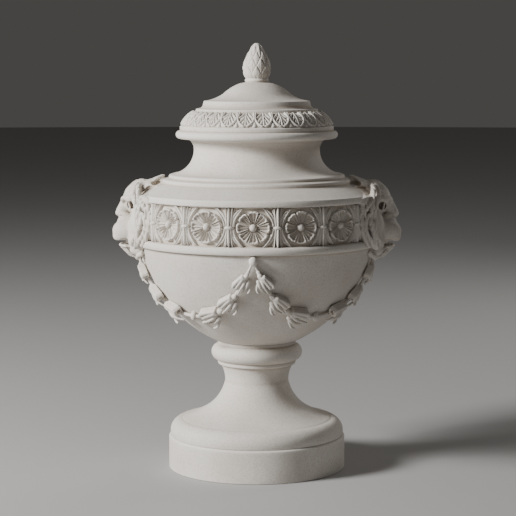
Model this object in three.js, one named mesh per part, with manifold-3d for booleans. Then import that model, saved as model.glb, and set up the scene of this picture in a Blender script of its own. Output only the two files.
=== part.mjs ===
// Lidded urn of carved stone: a drum plinth, a turned foot, a hollow body with a rosette frieze, two lion
// masks and four husk garlands, and a lid with a leaf band and a bud on top. Millimetres, +Z up, the front
// (one rosette and one garland stud) faces -Y and the masks face +X and -X.
import * as THREE from "three";
import { mergeVertices } from "three/addons/utils/BufferGeometryUtils.js";
import Module from "manifold-3d";

const wasm = await Module();
wasm.setup();

// Fits and facets
const JOINT = 0.3; // open bed joint between two stones that rest on each other
const ROOT = 6; // carved ornaments run this far into the wall that carries them
const PAST = 5; // cutters reach this far past what they cut
const SLIVER = 0.4; // joined pieces lose the slivers smaller than this
const SMOOTH = 1.3; // largest gap between a round moulding and its facets
const FACETS = { plinth: 28, foot: 26, body: 30, hollow: 16, lid: 40, bud: 16 };

// Heights of the courses from the ground up: each starts where the one before it ends
const COURSE = {
  plinth: 46, torus: 23.5, skirt: 12.7, spool: 41.8, flare: 22.5, fillet: 6.3, collar: 23.4, bed: 4.6,
  bowl: 137.2, moulding: 12, frieze: 52, cornice: 9, slope: 13.5, ring: 6, step: 6, neck: 32.5, lip: 17.3,
  rim: 11.9, edge: 6.4, leaves: 18.8, stepOne: 4.6, cove: 7.2, stepTwo: 4.2, slide: 9.8, crown: 14.5,
  budCollar: 6.3, bud: 50,
};
const LEVEL = {};
Object.entries(COURSE).reduce((level, [name, height]) => {
  LEVEL[name] = level;
  return level + height;
}, 0);

// Radii, and how far the arcs swell or sink
const PLINTH = { radius: 125.2, edge: 2.8, edgeRise: 0.82 };
const FOOT = {
  torusBase: 122, torusTop: 106, torusRise: 7.2, quirk: 1.5, skirtTop: 76, skirtRise: -1, waist: 44.9,
  spoolRise: -5.8, neck: 51, neckRise: -1.5, ring: 55, collar: 55.5, collarRise: 9,
};
const BOWL = { foot: 56, inset: 5, rise: 21.1 };
const FRIEZE = { band: 170, bandInset: 1, bandRise: 1.6, recess: 9, corniceInset: 1.4 };
const SHOULDER = { inset: 6, end: 134, ring: 132.5, step: 123.5 };
const NECK = { base: 118.5, waist: 88.6, baseRise: -7.9, rim: 97.5, lipRise: -3 };
const HOLLOW = {
  floor: 25.2, floorRadius: 40, wall: 16, swell: 18, below: 6, above: 8, domeRise: -8, neckWall: 16.6,
};
const LID = {
  rim: 107.6, rimRise: 6.2, edge: 108.2, bandFoot: 104.6, bandBulge: 97.2, bulgeHeight: 12, bandEnd: 88.4,
  stepOne: 85.6, stepOneInset: 2.6, coveRise: -2, stepTwo: 74.6, slide: 47.2, slideRise: -1.6, crown: 23.6,
  crownRise: 1.5, leafRise: 1.6, leafSink: 1.4,
};
const PLUG = {
  clearance: 1.5, depth: 12, wall: 12.5, chamfer: 2.5, cheek: 3.4, dome: 30, domeHeight: 20, domeRise: 3, ceiling: 6,
};
const BUD = {
  collar: 16.6, neck: 15.2, belly: 20.1, swell: 16, taper: 1.5, tip: 4.5, rows: 6, rise: 0.9, sink: 1.3,
};
const QUIRK = 0.8; // height of the small set-backs between mouldings

const FIELD = FRIEZE.band - FRIEZE.recess;
const BRIM = FRIEZE.band - BOWL.inset;
const CORNICE = FRIEZE.band - FRIEZE.corniceInset;
const BORE = NECK.waist - HOLLOW.neckWall;
const SEAT = LEVEL.rim + JOINT;
const FRIEZE_MIDDLE = LEVEL.frieze + COURSE.frieze / 2;

// Round mouldings: each corner is [radius, height, rise], the rise swelling the stretch that leads to it
function arcTo(from, to, rise) {
  if (!rise) return [to];
  const chord = from.distanceTo(to);
  const radius = (chord * chord / 4 + rise * rise) / (2 * Math.abs(rise));
  const half = 2 * Math.atan2(2 * Math.abs(rise), chord);
  const steps = Math.max(2, Math.ceil(half / Math.acos(1 - SMOOTH / radius)));
  const along = to.clone().sub(from).normalize();
  const out = new THREE.Vector2(along.y, -along.x).multiplyScalar(Math.sign(rise));
  const centre = from.clone().add(to).multiplyScalar(0.5).addScaledVector(out, Math.abs(rise) - radius);
  return Array.from({ length: steps }, (_, i) => {
    const angle = -half + (2 * half * (i + 1)) / steps;
    return centre.clone()
      .addScaledVector(out, radius * Math.cos(angle))
      .addScaledVector(along, radius * Math.sin(angle));
  });
}

function outline(corners) {
  return corners.reduce((points, [radius, height, rise]) => {
    const corner = new THREE.Vector2(radius, height);
    const last = points[points.length - 1];
    return points.concat(last ? arcTo(last, corner, rise) : [corner]);
  }, []);
}

// Closed three.js geometry as a solid that can be joined and cut
function solid(geometry) {
  const bare = new THREE.BufferGeometry().setAttribute("position", geometry.getAttribute("position"));
  bare.setIndex(geometry.index);
  const merged = mergeVertices(bare, 1e-4);
  const corners = Array.from(merged.index.array);
  const whole = corners.filter((_, i) => {
    const [a, b, c] = corners.slice(i - (i % 3), i - (i % 3) + 3);
    return a !== b && b !== c && c !== a;
  });
  return new wasm.Manifold(new wasm.Mesh({
    numProp: 3,
    vertProperties: merged.attributes.position.array,
    triVerts: new Uint32Array(whole),
  }));
}

// The profile turned about the Z axis from the front; a relief lifts or sinks its skin by height and facet
function turned(corners, facets, relief) {
  const geometry = new THREE.LatheGeometry(outline(corners), facets).rotateX(Math.PI / 2);
  const place = geometry.getAttribute("position");
  for (let i = 0; relief && i < place.count; i++) {
    const radius = Math.hypot(place.getX(i), place.getY(i));
    if (!radius) continue;
    const facet = Math.floor(i / (place.count / (facets + 1))) % facets;
    const lift = 1 + relief(place.getZ(i), facet) / radius;
    place.setXY(i, place.getX(i) * lift, place.getY(i) * lift);
  }
  return solid(geometry);
}

function stone(name, shape, colour) {
  const mesh = shape.getMesh();
  const geometry = new THREE.BufferGeometry();
  geometry.setAttribute("position", new THREE.BufferAttribute(mesh.vertProperties, mesh.numProp));
  geometry.setIndex(new THREE.BufferAttribute(mesh.triVerts, 1));
  const flat = geometry.toNonIndexed();
  flat.computeVertexNormals();
  const material = new THREE.MeshStandardMaterial({ color: colour, roughness: 0.85, metalness: 0 });
  const part = new THREE.Mesh(flat, material);
  part.name = name;
  return part;
}

// A closed skin over stations: each is a loop of points, counterclockwise seen from the far end
function skin(loops) {
  const size = loops[0].length;
  const index = [];
  for (let j = 0; j < loops.length - 1; j++) {
    for (let i = 0; i < size; i++) {
      const a = j * size + i;
      const b = j * size + (i + 1) % size;
      index.push(a, b, b + size, a, b + size, a + size);
    }
  }
  for (let i = 1; i < size - 1; i++) {
    const last = (loops.length - 1) * size;
    index.push(0, i + 1, i, last, last + i, last + i + 1);
  }
  return new THREE.BufferGeometry().setFromPoints(loops.flat()).setIndex(index);
}

// Bends a flat ornament (x along the wall, y up, z outwards) on to the frieze at an angle from the front
function onFrieze(geometry, angle) {
  const place = geometry.getAttribute("position");
  for (let i = 0; i < place.count; i++) {
    const turn = angle + place.getX(i) / FIELD;
    const reach = FIELD + place.getZ(i);
    place.setXYZ(i, reach * Math.sin(turn), -reach * Math.cos(turn), FRIEZE_MIDDLE + place.getY(i));
  }
  return solid(geometry);
}

// Centre and radius of the arc of the bowl's side
const bowlArc = (() => {
  const foot = new THREE.Vector2(BOWL.foot, LEVEL.bowl);
  const brim = new THREE.Vector2(BRIM, LEVEL.moulding);
  const chord = foot.distanceTo(brim);
  const radius = (chord * chord / 4 + BOWL.rise * BOWL.rise) / (2 * BOWL.rise);
  const along = brim.clone().sub(foot).normalize();
  const centre = foot.clone().add(brim).multiplyScalar(0.5);
  centre.addScaledVector(new THREE.Vector2(along.y, -along.x), BOWL.rise - radius);
  return { centre, radius };
})();

function bowlRadius(height) {
  const rise = height - bowlArc.centre.y;
  return bowlArc.centre.x + Math.sqrt(bowlArc.radius * bowlArc.radius - rise * rise);
}

// Plinth drum
function plinth() {
  return turned([
    [0, 0],
    [PLINTH.radius, 0],
    [PLINTH.radius, COURSE.plinth - PLINTH.edge],
    [PLINTH.radius - PLINTH.edge, COURSE.plinth, PLINTH.edgeRise],
    [0, COURSE.plinth],
  ], FACETS.plinth);
}

// Foot: torus, skirt, spool and collar
function foot() {
  return turned([
    [0, LEVEL.torus + JOINT],
    [FOOT.torusBase, LEVEL.torus + JOINT],
    [FOOT.torusTop, LEVEL.skirt, FOOT.torusRise],
    [FOOT.torusTop - FOOT.quirk, LEVEL.skirt + QUIRK],
    [FOOT.skirtTop, LEVEL.spool, FOOT.skirtRise],
    [FOOT.waist, LEVEL.flare, FOOT.spoolRise],
    [FOOT.neck, LEVEL.fillet, FOOT.neckRise],
    [FOOT.ring, LEVEL.fillet + QUIRK],
    [FOOT.ring, LEVEL.collar],
    [FOOT.collar, LEVEL.bed, FOOT.collarRise],
    [FOOT.collar, LEVEL.bowl - JOINT],
    [0, LEVEL.bowl - JOINT],
  ], FACETS.foot);
}

// Rosette: a dished flower whose petals have raised round ends, with a button in the middle
const ROSETTE = {
  petals: 8, radius: 22.8, cleft: 0.86, dish: 1.5, rim: 6.2, notch: 3.2, button: 4.2, buttonHeight: 5,
};

function rosette(angle) {
  const ring = (reach, petal, valley) => Array.from({ length: 2 * ROSETTE.petals }, (_, i) => {
    const turn = (Math.PI * i) / ROSETTE.petals;
    const wide = i % 2 ? ROSETTE.cleft * reach : reach;
    return new THREE.Vector3(wide * Math.sin(turn), wide * Math.cos(turn), i % 2 ? valley : petal);
  });
  const petals = skin([
    ring(0, ROSETTE.dish, ROSETTE.dish),
    ring(ROSETTE.radius, ROSETTE.rim, ROSETTE.notch),
    ring(ROSETTE.radius, -ROOT, -ROOT),
  ]);
  const button = new THREE.ConeGeometry(ROSETTE.button, ROSETTE.buttonHeight, 4).rotateX(Math.PI / 2);
  button.translate(0, 0, ROSETTE.buttonHeight / 2 + ROSETTE.dish / 2);
  return [petals, button].map((piece) => onFrieze(piece, angle));
}

// Sheaf between two rosettes: a ridged stem with a knot and, on each side, a strap round the flower
const SHEAF = {
  places: 16, hidden: 0.42, knot: 3.4, spread: 18.7, strap: 2, rise: 6.4, crest: 5.8, groove: 2.6,
  knotRise: 1.4,
};

function sheaf(angle) {
  const half = COURSE.frieze / 2 + FRIEZE.bandInset;
  const stations = [-1, -0.4, 0.4, 1].map((share) => {
    const strap = SHEAF.knot + (SHEAF.spread - SHEAF.knot) * share * share;
    const ridges = [
      [-strap - SHEAF.strap, -ROOT],
      [-strap, SHEAF.crest],
      [-strap / 2, SHEAF.groove],
      [0, SHEAF.rise + SHEAF.knotRise * (1 - Math.abs(share))],
      [strap / 2, SHEAF.groove],
      [strap, SHEAF.crest],
      [strap + SHEAF.strap, -ROOT],
    ];
    return ridges.map(([x, z]) => new THREE.Vector3(x, share * half, z));
  });
  return onFrieze(skin(stations), angle);
}

// Garlands: husks that hang from the front and back studs and from the masks and meet at a bead
const SWAG = {
  span: 84, drop: 84.5, below: 6, sharp: 3.6, husks: 3, pitch: 37, start: 24, stand: 5, step: 0.25,
};
const HUSK = { bead: 6.6, neck: 3.6, length: 30, flare: 12.5, flat: 0.8, sides: 4 };
const BEAD = { stud: 6.5, middle: 7, facets: 7, rows: 4 };
const STRING = { thick: 3, thin: 2.4, sunk: 1, facets: 5 };

function swagPoint(degrees) {
  const share = Math.abs(2 * degrees / SWAG.span - 1);
  const sag = 1 - (Math.cosh(SWAG.sharp * share) - 1) / (Math.cosh(SWAG.sharp) - 1);
  const height = LEVEL.moulding - SWAG.below - SWAG.drop * sag;
  const turn = THREE.MathUtils.degToRad(degrees);
  const reach = bowlRadius(height) + SWAG.stand;
  return new THREE.Vector3(reach * Math.sin(turn), -reach * Math.cos(turn), height);
}

// Angles at which the string has run the wanted lengths from the stud
function swagAngles(lengths) {
  const angles = [];
  let run = 0;
  for (let degrees = SWAG.step; degrees < SWAG.span / 2; degrees += SWAG.step) {
    run += swagPoint(degrees).distanceTo(swagPoint(degrees - SWAG.step));
    if (run >= lengths[angles.length]) angles.push(degrees);
  }
  return angles;
}

// Frame at one point of the string: Z along it, Y away from the bowl
function frameAt(from, to) {
  const along = to.clone().sub(from).normalize();
  const middle = from.clone().add(to).multiplyScalar(0.5);
  const slope = (middle.z - bowlArc.centre.y) / bowlArc.radius;
  const out = new THREE.Vector3(middle.x, middle.y, 0).setLength(Math.sqrt(1 - slope * slope)).setZ(slope);
  out.addScaledVector(along, -out.dot(along)).normalize();
  const side = new THREE.Vector3().crossVectors(out, along);
  return new THREE.Matrix4().makeBasis(side, out, along).setPosition(from);
}

// One husk: a bead, a thin neck and a bell of petals
function husk(from, to) {
  const ring = (z, radius) => Array.from({ length: HUSK.sides }, (_, i) => {
    const turn = (2 * Math.PI * i) / HUSK.sides;
    return new THREE.Vector3(radius * Math.cos(turn), radius * HUSK.flat * Math.sin(turn), z);
  });
  const bell = skin([
    ring(-HUSK.bead, HUSK.neck),
    ring(0, HUSK.bead),
    ring(HUSK.bead, HUSK.neck),
    ring(HUSK.length, HUSK.flare),
  ]);
  return solid(bell.applyMatrix4(frameAt(from, to)));
}

function bead(centre, radius) {
  return solid(new THREE.SphereGeometry(radius, BEAD.facets, BEAD.rows).translate(...centre));
}

function swag() {
  const runs = Array.from({ length: SWAG.husks }, (_, i) => SWAG.start + i * SWAG.pitch);
  const angles = swagAngles(runs).concat(SWAG.span / 2);
  const pieces = [bead(swagPoint(SWAG.span / 2), BEAD.middle)];
  for (const place of [(degrees) => degrees, (degrees) => SWAG.span - degrees]) {
    const beads = angles.map((degrees) => swagPoint(place(degrees)));
    for (let i = 0; i < SWAG.husks; i++) pieces.push(husk(beads[i], beads[i + 1]));
  }
  const stud = swagPoint(0);
  const first = swagPoint(angles[0]);
  const length = stud.distanceTo(first);
  const string = new THREE.CylinderGeometry(STRING.thick, STRING.thin, length, STRING.facets);
  string.rotateX(Math.PI / 2).translate(0, -STRING.sunk, length / 2);
  return pieces.concat(solid(string.applyMatrix4(frameAt(stud, first))));
}

// Lion mask, looking along X. Places are from the middle of the mask and the face of the band, and the
// lumps of the face are ellipsoids of these half sizes, alike on both sides
const MASK = {
  rings: 10, spokes: 24, lift: 15, halfWidth: 80, up: 73, down: 47, root: 13, bare: 3,
  mane: 0.5, ridge: 10, furrow: 3, edge: 5, notch: 0.9, swirl: 0.45, sway: 0.3,
};
const FACE = {
  skull: { across: 0, out: -10, up: 39, wide: 38, deep: 28, tall: 30 },
  crest: { across: 0, out: -20, up: 57, wide: 24, deep: 26, tall: 16 },
  cheek: { across: 32, out: -12, up: -2, wide: 24, deep: 28, tall: 32 },
  muzzle: { across: 12, out: 10, up: -7, wide: 18, deep: 24, tall: 19 },
  nose: { across: 0, out: 16, up: 16, wide: 11, deep: 14, tall: 9 },
  bridge: { across: 0, out: 8, up: 31, wide: 10, deep: 15, tall: 20 },
  jaw: { across: 0, out: -2, up: -33, wide: 23, deep: 28, tall: 12 },
  brow: { across: 21, out: 2, up: 39, wide: 15, deep: 11, tall: 6 },
};
const BLEND = { swell: 2.5, reach: 4 };
const EYE = { across: 26, out: 11, up: 27, radius: 7.5, depth: 13, facets: 6, turn: 0.95 };
const MOUTH = { back: 12, up: -24.5, tall: 4.4, corner: 1.5, wide: 60 };
const MASK_MIDDLE = LEVEL.frieze + MASK.lift;

// How far from the axis the face stands at a place across and up, or nothing where it has no flesh
function faceReach(across, up) {
  return Object.values(FACE).reduce((reach, lump) => {
    const room = 1 - ((across - lump.across) / lump.wide) ** 2 - ((up - lump.up) / lump.tall) ** 2;
    if (room <= 0) return reach;
    const out = FRIEZE.band + lump.out + lump.deep * Math.sqrt(room);
    return Math.max(reach, out) + BLEND.swell * Math.exp(-Math.abs(reach - out) / BLEND.reach);
  }, 0);
}

// Outside radius of the turned wall behind the mask
function wallRadius(height) {
  if (height < LEVEL.moulding) return bowlRadius(height);
  if (height < LEVEL.slope) return CORNICE;
  const share = (height - LEVEL.slope) / COURSE.slope;
  return Math.max(SHOULDER.step, THREE.MathUtils.lerp(FRIEZE.band - SHOULDER.inset, SHOULDER.end, share));
}

function mask(side) {
  const front = [];
  const back = [];
  for (let ring = 0; ring <= MASK.rings; ring++) {
    const share = ring / MASK.rings;
    const rim = ring === MASK.rings ? MASK.notch : 1;
    const fall = Math.min(1, MASK.edge * (1 - share) + 0.2);
    const loop = Array.from({ length: MASK.spokes }, (_, spoke) => {
      const furrow = spoke % 2 === 0;
      const turn = (2 * Math.PI * spoke) / MASK.spokes;
      const bend = MASK.swirl * Math.sin(turn) * share * share;
      const long = share * (furrow ? rim : 1);
      const tall = Math.cos(turn) > 0 ? MASK.up : MASK.down;
      const across = MASK.halfWidth * Math.sin(turn + MASK.sway * bend) * long;
      const up = tall * Math.cos(turn + bend) * long;
      const wall = Math.sqrt(wallRadius(MASK_MIDDLE + up) ** 2 - across * across);
      const mane = share > MASK.mane ? wall + fall * (furrow ? MASK.furrow : MASK.ridge) : 0;
      return { across, up, wall, reach: Math.max(faceReach(Math.abs(across), up), mane, wall - MASK.bare) };
    });
    const points = (reach) => loop.map((at) => {
      return new THREE.Vector3(side * reach(at), side * at.across, MASK_MIDDLE + at.up);
    });
    front.push(points((at) => at.reach));
    back.unshift(points((at) => at.wall - MASK.root));
  }
  return solid(skin(front.concat(back)));
}

// What is cut from a mask: the two eye sockets and the slit of the mouth
function maskCuts(side) {
  const sockets = [1, -1].map((cheek) => {
    const socket = new THREE.ConeGeometry(EYE.radius, EYE.depth, EYE.facets).rotateZ(Math.PI / 2);
    socket.rotateZ(cheek * EYE.turn);
    return socket.translate(FRIEZE.band + EYE.out, cheek * EYE.across, MASK_MIDDLE + EYE.up);
  });
  const mouth = new THREE.BoxGeometry(FRIEZE.band, MOUTH.wide, MOUTH.tall);
  mouth.translate(FRIEZE.band * 1.5 + MOUTH.back, 0, MASK_MIDDLE + MOUTH.up);
  return [...sockets, mouth].map((cut) => solid(cut).rotate([0, 0, side > 0 ? 0 : 180]));
}

// The manes cover the frieze beside each mask, and nothing is carved under them
function clearOfMasks(turn) {
  return Math.abs(Math.sin(turn)) < Math.cos(SHEAF.hidden);
}

// Hollow body
function body() {
  const shell = turned([
    [0, LEVEL.bowl],
    [BOWL.foot, LEVEL.bowl],
    [BRIM, LEVEL.moulding, BOWL.rise],
    [FRIEZE.band - FRIEZE.bandInset, LEVEL.moulding + QUIRK],
    [FRIEZE.band - FRIEZE.bandInset, LEVEL.frieze, FRIEZE.bandRise],
    [CORNICE, LEVEL.cornice],
    [CORNICE, LEVEL.slope],
    [FRIEZE.band - SHOULDER.inset, LEVEL.slope + QUIRK],
    [SHOULDER.end, LEVEL.ring],
    [SHOULDER.ring, LEVEL.step],
    [SHOULDER.step, LEVEL.step + QUIRK],
    [SHOULDER.step, LEVEL.neck],
    [NECK.base, LEVEL.neck + QUIRK],
    [NECK.waist, LEVEL.lip, NECK.baseRise],
    [NECK.rim, LEVEL.rim, NECK.lipRise],
    [0, LEVEL.rim],
  ], FACETS.body);
  const step = (2 * Math.PI) / SHEAF.places;
  const flat = FIELD / Math.cos(step / 4);
  const field = turned([
    [flat, LEVEL.frieze],
    [flat + ROOT + FRIEZE.recess, LEVEL.frieze],
    [flat + ROOT + FRIEZE.recess, LEVEL.cornice],
    [flat, LEVEL.cornice],
    [flat, LEVEL.frieze],
  ], SHEAF.places).rotate([0, 0, THREE.MathUtils.radToDeg(step / 2)]);
  const hollow = turned([
    [0, LEVEL.bowl + HOLLOW.floor],
    [HOLLOW.floorRadius, LEVEL.bowl + HOLLOW.floor],
    [FIELD - HOLLOW.wall, LEVEL.moulding - HOLLOW.below, HOLLOW.swell],
    [FIELD - HOLLOW.wall, LEVEL.cornice - HOLLOW.above],
    [BORE, LEVEL.neck + HOLLOW.above, HOLLOW.domeRise],
    [BORE, LEVEL.rim + PAST],
    [0, LEVEL.rim + PAST],
  ], FACETS.hollow);
  const carved = [];
  for (let place = 0; place < SHEAF.places; place++) {
    if (clearOfMasks((place + 0.5) * step)) carved.push(sheaf((place + 0.5) * step));
    if (clearOfMasks(place * step)) carved.push(...rosette(place * step));
  }
  for (const half of [0, 180]) {
    for (const piece of [bead(swagPoint(0), BEAD.stud), ...swag()]) {
      carved.push(piece.rotate([0, 0, half]), piece.mirror([1, 0, 0]).rotate([0, 0, half]));
    }
  }
  carved.push(mask(1), mask(-1));
  return wasm.Manifold.union([shell.subtract(field), ...carved])
    .subtract(wasm.Manifold.union([hollow, ...maskCuts(1), ...maskCuts(-1)]))
    .simplify(SLIVER);
}

// Relief of the leaf band and the bud: it follows the facets, so that every second edge is the middle of a
// leaf or a scale
function bandRelief(height, facet) {
  const share = (height - LEVEL.leaves) / COURSE.leaves;
  if (share < 0.08 || share > 1.01) return 0;
  return facet % 2 ? -LID.leafSink : LID.leafRise * (1.15 - 0.8 * share);
}

function budRelief(height, facet) {
  const row = Math.round((BUD.rows * (height - LEVEL.bud)) / COURSE.bud);
  if (row < 1 || row >= BUD.rows) return 0;
  return (facet + row) % 2 ? -BUD.sink : BUD.rise;
}

function budRadius(up) {
  const below = up < BUD.swell;
  const share = below ? 1 - up / BUD.swell : (up - BUD.swell) / (COURSE.bud - BUD.swell);
  return BUD.belly - (BUD.belly - (below ? BUD.neck : BUD.tip)) * share ** BUD.taper;
}

// Lid: hollow underneath, with a plug that drops into the neck
function lid() {
  const shell = turned([
    [0, SEAT],
    [LID.rim, SEAT],
    [LID.rim, LEVEL.edge, LID.rimRise],
    [LID.edge, LEVEL.edge + QUIRK],
    [LID.edge, LEVEL.leaves - QUIRK],
    [LID.bandFoot, LEVEL.leaves],
    [LID.bandBulge, LEVEL.leaves + LID.bulgeHeight, QUIRK],
    [LID.bandEnd, LEVEL.stepOne],
    [LID.stepOne, LEVEL.stepOne + QUIRK],
    [LID.stepOne, LEVEL.cove],
    [LID.stepOne - LID.stepOneInset, LEVEL.cove + QUIRK],
    [LID.stepTwo, LEVEL.stepTwo, LID.coveRise],
    [LID.stepTwo, LEVEL.slide],
    [LID.slide, LEVEL.crown, LID.slideRise],
    [LID.crown, LEVEL.budCollar, LID.crownRise],
    [0, LEVEL.budCollar + QUIRK],
  ], FACETS.lid, bandRelief);
  const rows = Array.from({ length: BUD.rows - 1 }, (_, i) => ((i + 1) * COURSE.bud) / BUD.rows);
  const bud = turned([
    [0, LEVEL.budCollar - PAST],
    [BUD.collar, LEVEL.budCollar - PAST],
    [BUD.collar, LEVEL.bud - QUIRK],
    [BUD.neck, LEVEL.bud],
    ...rows.map((up) => [budRadius(up), LEVEL.bud + up]),
    [BUD.tip, LEVEL.bud + COURSE.bud],
    [0, LEVEL.bud + COURSE.bud],
  ], FACETS.bud, budRelief);
  const plugRadius = BORE - PLUG.clearance;
  const plug = turned([
    [0, SEAT - PLUG.depth],
    [plugRadius - PLUG.chamfer, SEAT - PLUG.depth],
    [plugRadius, SEAT - PLUG.depth + PLUG.chamfer],
    [plugRadius, SEAT + PAST],
    [0, SEAT + PAST],
  ], FACETS.hollow);
  const cheek = LEVEL.stepOne - PLUG.cheek;
  const hollow = turned([
    [0, SEAT - PLUG.depth - PAST],
    [plugRadius - PLUG.wall, SEAT - PLUG.depth - PAST],
    [plugRadius - PLUG.wall, cheek],
    [PLUG.dome, cheek + PLUG.domeHeight, PLUG.domeRise],
    [0, cheek + PLUG.domeHeight + PLUG.ceiling],
  ], FACETS.hollow);
  return wasm.Manifold.union([shell, plug, bud]).subtract(hollow);
}

const urn = new THREE.Group();
urn.add(stone("plinth", plinth(), 0xd3cdc3));
urn.add(stone("foot", foot(), 0xd6d0c6));
urn.add(stone("body", body(), 0xd6d0c6));
urn.add(stone("lid", lid(), 0xd8d2c9));
export default urn;
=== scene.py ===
import math

import bmesh
import bpy
import numpy as np
import openvdb
from mathutils import Matrix, Vector


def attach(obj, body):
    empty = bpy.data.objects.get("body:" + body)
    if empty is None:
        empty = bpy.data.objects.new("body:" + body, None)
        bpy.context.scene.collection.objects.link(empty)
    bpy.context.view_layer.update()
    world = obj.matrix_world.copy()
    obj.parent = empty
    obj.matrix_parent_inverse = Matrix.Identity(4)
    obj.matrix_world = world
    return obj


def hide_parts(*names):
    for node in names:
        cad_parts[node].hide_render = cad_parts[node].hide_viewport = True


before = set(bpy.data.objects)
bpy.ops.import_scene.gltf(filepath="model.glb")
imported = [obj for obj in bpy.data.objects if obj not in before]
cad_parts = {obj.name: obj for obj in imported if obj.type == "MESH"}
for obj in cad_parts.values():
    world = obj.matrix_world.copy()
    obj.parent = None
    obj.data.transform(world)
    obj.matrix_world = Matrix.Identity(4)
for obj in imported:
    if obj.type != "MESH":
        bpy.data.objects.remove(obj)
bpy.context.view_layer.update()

# Sizes are in millimetres, and MM turns them into metres where a mesh or a node takes them
MM = 0.001

# Heights of the main courses and radii of the walls that carry the carving
BOWL_FOOT = (56, 180.8)
BOWL_BRIM = (165, 318)
BOWL_RISE = 21.1
FIELD = 162
FRIEZE_MIDDLE = 355
PLACES = 16
MASK_HALF_TURN = math.radians(66)


# Profiles: corners are (radius, height, rise), and the rise swells the stretch that leads to the corner

def circle(start, end, rise):
    """Centre and radius of the arc that swells to the right of the way, and the ways along and out."""
    start, end = np.array(start, float), np.array(end, float)
    chord = np.linalg.norm(end - start)
    radius = (chord ** 2 / 4 + rise ** 2) / (2 * abs(rise))
    along = (end - start) / chord
    out = np.array([along[1], -along[0]]) * math.copysign(1, rise)
    return (start + end) / 2 + out * (abs(rise) - radius), radius, along, out


def arc(start, end, rise, gap=0.05):
    """Points after start up to end on the arc between them, or end alone where nothing swells."""
    if not rise:
        return [np.array(end, float)]
    centre, radius, along, out = circle(start, end, rise)
    half = 2 * math.atan2(2 * abs(rise), math.dist(start, end))
    steps = max(3, math.ceil(half / math.acos(1 - gap / radius)))
    turns = -half + 2 * half * np.arange(1, steps + 1) / steps
    return [centre + radius * (out * math.cos(t) + along * math.sin(t)) for t in turns]


def soften(points, cut=0.55, turn=0.35):
    """Rounds the sharp corners of a profile as a worn arris is rounded."""
    worn = [points[0]]
    for before, at, after in zip(points, points[1:], points[2:]):
        back, ahead = before - at, after - at
        lengths = np.linalg.norm(back), np.linalg.norm(ahead)
        cosine = np.dot(back, ahead) / (lengths[0] * lengths[1])
        if math.pi - math.acos(max(-1, min(1, cosine))) < turn:
            worn.append(at)
            continue
        near = at + back * min(cut, 0.4 * lengths[0]) / lengths[0]
        far = at + ahead * min(cut, 0.4 * lengths[1]) / lengths[1]
        worn += [near, 0.25 * near + 0.5 * at + 0.25 * far, far]
    return worn + [points[-1]]


def spread(points, longest):
    """Adds points on the long straight stretches."""
    filled = [points[0]]
    for start, end in zip(points, points[1:]):
        steps = max(1, math.ceil(np.linalg.norm(end - start) / longest))
        filled += [start + (end - start) * i / steps for i in range(1, steps + 1)]
    return filled


def profile(corners, longest=5):
    points = [np.array(corners[0][:2], float)]
    for radius, height, *rise in corners[1:]:
        points += arc(points[-1], (radius, height), rise[0] if rise else 0)
    return spread(soften(points), longest)


# Meshes

def length_one(rows):
    return rows / np.maximum(np.linalg.norm(rows, axis=1, keepdims=True), 1e-6)


def values_of(items, key, width=1, kind=float):
    """The values of a mesh's points, edges or corners as an array, with a row for each."""
    held = np.zeros(len(items) * width, kind)
    items.foreach_get(key, held)
    return held.reshape(-1, width) if width > 1 else held


def linked(obj):
    bpy.context.scene.collection.objects.link(obj)
    return obj


def tube_faces(rings, around):
    """Four-sided faces between rings of points, each ring closed on itself."""
    faces = []
    for ring in range(rings - 1):
        for i in range(around):
            a, b = ring * around + i, ring * around + (i + 1) % around
            faces.append([a, b, b + around, a + around])
    return faces


def closed_tube(rings, around):
    last = (rings - 1) * around
    return tube_faces(rings, around) + [list(range(around)), list(range(last, last + around))]


def set_relief(mesh, relief):
    """Keeps how far each point stands out of (+1) or below (-1) what is round it, for the finish."""
    held = mesh.attributes.get("relief") or mesh.attributes.new("relief", "FLOAT", "POINT")
    held.data.foreach_set("value", np.clip(relief, -1, 1).astype(np.float32))


def piece_mesh(name, points, faces, relief=None):
    """A mesh object from points in millimetres."""
    mesh = bpy.data.meshes.new(name)
    mesh.from_pydata((np.asarray(points, float) * MM).tolist(), [], faces)
    mesh.update()
    mesh.polygons.foreach_set("use_smooth", np.ones(len(mesh.polygons), bool))
    if relief is not None:
        set_relief(mesh, relief)
    return linked(bpy.data.objects.new(name, mesh))


def outwards(obj):
    """Merges doubles and turns every face of a closed mesh outwards."""
    work = bmesh.new()
    work.from_mesh(obj.data)
    bmesh.ops.remove_doubles(work, verts=work.verts, dist=0.02 * MM)
    bmesh.ops.recalc_face_normals(work, faces=work.faces)
    work.to_mesh(obj.data)
    work.free()
    return obj


def carve_depth(obj, passes, reach):
    """Works out the relief of each point from its height over the smoothed skin."""
    mesh = obj.data
    count = len(mesh.vertices)
    place = values_of(mesh.vertices, "co", 3) / MM
    normal = values_of(mesh.vertices, "normal", 3)
    ends = values_of(mesh.edges, "vertices", 2, int)
    links = np.maximum(np.bincount(ends.ravel(), minlength=count), 1)[:, None]
    smooth = place.copy()
    for _ in range(passes):
        total = np.zeros_like(smooth)
        for axis in range(3):
            total[:, axis] = np.bincount(ends[:, 0], smooth[ends[:, 1], axis], count)
            total[:, axis] += np.bincount(ends[:, 1], smooth[ends[:, 0], axis], count)
        smooth = 0.5 * smooth + 0.5 * total / links
    set_relief(mesh, ((place - smooth) * normal).sum(1) / reach)
    return obj


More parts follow.
